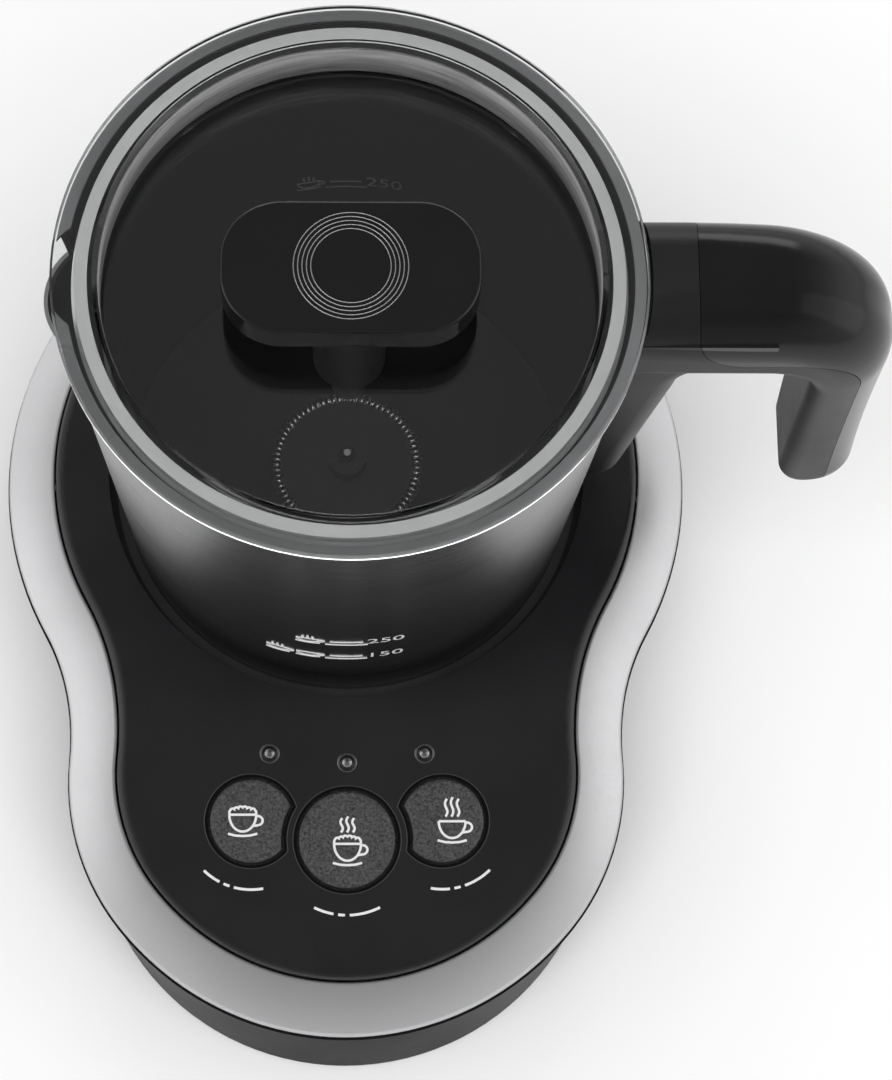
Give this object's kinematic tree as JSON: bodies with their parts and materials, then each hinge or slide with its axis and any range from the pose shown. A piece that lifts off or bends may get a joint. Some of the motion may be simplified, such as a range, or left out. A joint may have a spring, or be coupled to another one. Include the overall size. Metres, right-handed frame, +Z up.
{
  "type": "milk frother",
  "caption": "Electric milk frother: powered base with sloped push-button panel, lift-off steel jug with hooked handle, magnetic spring whisk and clear lid.",
  "frame": {"origin": "on the surface the base stands on, directly below the jug's axis", "axes": "+Z up, the sloped button panel faces -Y, the jug's handle points to +X and its spout to -X"},
  "size_m": [0.1869, 0.2035, 0.1607],
  "materials": {
    "base_black_plastic": "semi-gloss black, fine moulded texture",
    "inner_plastic": "matte black moulded plastic",
    "cover_black": "satin black top cover",
    "satin_silver": "satin silver paint, fine sparkle",
    "sensor_steel": "bright steel cap",
    "copper": "enamelled copper wire",
    "motor_steel": "zinc plated can",
    "magnet_nickel": "nickel plated",
    "board_green": "green lacquered board",
    "switch_black": "matte black",
    "led_clear": "clear resin",
    "lens_clear": "clear domed lens",
    "button_rubber": "soft-touch dark grey, grained",
    "foot_rubber": "black rubber",
    "screw_steel": "zinc plated",
    "jug_steel": "satin brushed stainless steel, brushed round the jug",
    "nonstick": "dark satin non-stick coating",
    "handle_satin": "satin black plastic",
    "handle_gloss": "glossy black plastic",
    "whisk_black": "dark plastic",
    "whisk_wire": "bright spring wire",
    "clear_plastic": "clear polished plastic",
    "gasket_grey": "light grey silicone",
    "knob_gloss": "polished black with fine rings",
    "post_grey": "dark grey satin plastic"
  },
  "bodies": {
    "base": {"base_housing": "base_black_plastic", "base_bottom_plate": "inner_plastic", "base_top_cover": "cover_black", "trim_band": "satin_silver", "jug_seat": "inner_plastic", "temperature_sensor": "sensor_steel", "heating_coil": "copper", "coil_former": "inner_plastic", "drive_motor": "motor_steel", "motor_bracket": "inner_plastic", "control_board": "board_green", "push_switches": "switch_black", "indicator_leds": "led_clear", "indicator_lenses": "lens_clear", "base_feet": "foot_rubber", "base_screws": "screw_steel", "cord_inlet": "foot_rubber"},
    "drive": {"drive_rotor": "inner_plastic", "drive_magnets": "magnet_nickel", "motor_shaft": "sensor_steel"},
    "button_cold": {"button_cold": "button_rubber"},
    "button_hot": {"button_hot": "button_rubber"},
    "button_warm": {"button_warm": "button_rubber"},
    "jug": {"jug_shell": "jug_steel", "jug_liner": "nonstick", "jug_heat_disc": "sensor_steel", "jug_bottom_cap": "inner_plastic", "whisk_pin": "sensor_steel", "handle_core": "handle_satin", "handle_cover": "handle_gloss", "handle_screw": "screw_steel", "handle_studs": "sensor_steel"},
    "whisk": {"whisk_hub": "whisk_black", "whisk_ring": "whisk_wire", "whisk_magnets": "magnet_nickel"},
    "lid": {"lid_body": "clear_plastic", "lid_gasket": "gasket_grey", "knob_plate": "knob_gloss", "knob_post": "post_grey", "spare_whisk_post": "post_grey", "knob_screw": "screw_steel"}
  },
  "joints": [
    {"name": "motor_spin", "type": "hinge", "parent": "base", "child": "drive", "pos_m": [0, 0, 0.0315], "axis": [0, 0, 1], "continuous": true},
    {"name": "button_cold_press", "type": "slide", "parent": "base", "child": "button_cold", "axis": [0, 0.2079, -0.9781], "range_m": [0, 0.001], "stiffness_N_per_m": 600, "springref_m": -0.0008},
    {"name": "button_hot_press", "type": "slide", "parent": "base", "child": "button_hot", "axis": [0, 0.2079, -0.9781], "range_m": [0, 0.001], "stiffness_N_per_m": 600, "springref_m": -0.0008},
    {"name": "button_warm_press", "type": "slide", "parent": "base", "child": "button_warm", "axis": [0, 0.2079, -0.9781], "range_m": [0, 0.001], "stiffness_N_per_m": 600, "springref_m": -0.0008},
    {"name": "jug_lift", "type": "slide", "parent": "base", "child": "jug", "axis": [0, 0, 1], "range_m": [0, 0.06]},
    {"name": "whisk_spin", "type": "hinge", "parent": "jug", "child": "whisk", "pos_m": [0, 0, 0.0475], "axis": [0, 0, 1], "continuous": true},
    {"name": "lid_lift", "type": "slide", "parent": "jug", "child": "lid", "axis": [0, 0, 1], "range_m": [0, 0.09]}
  ],
  "couplings": [
    {"joint": "whisk_spin", "follows": "motor_spin", "ratio": 1}
  ]
}
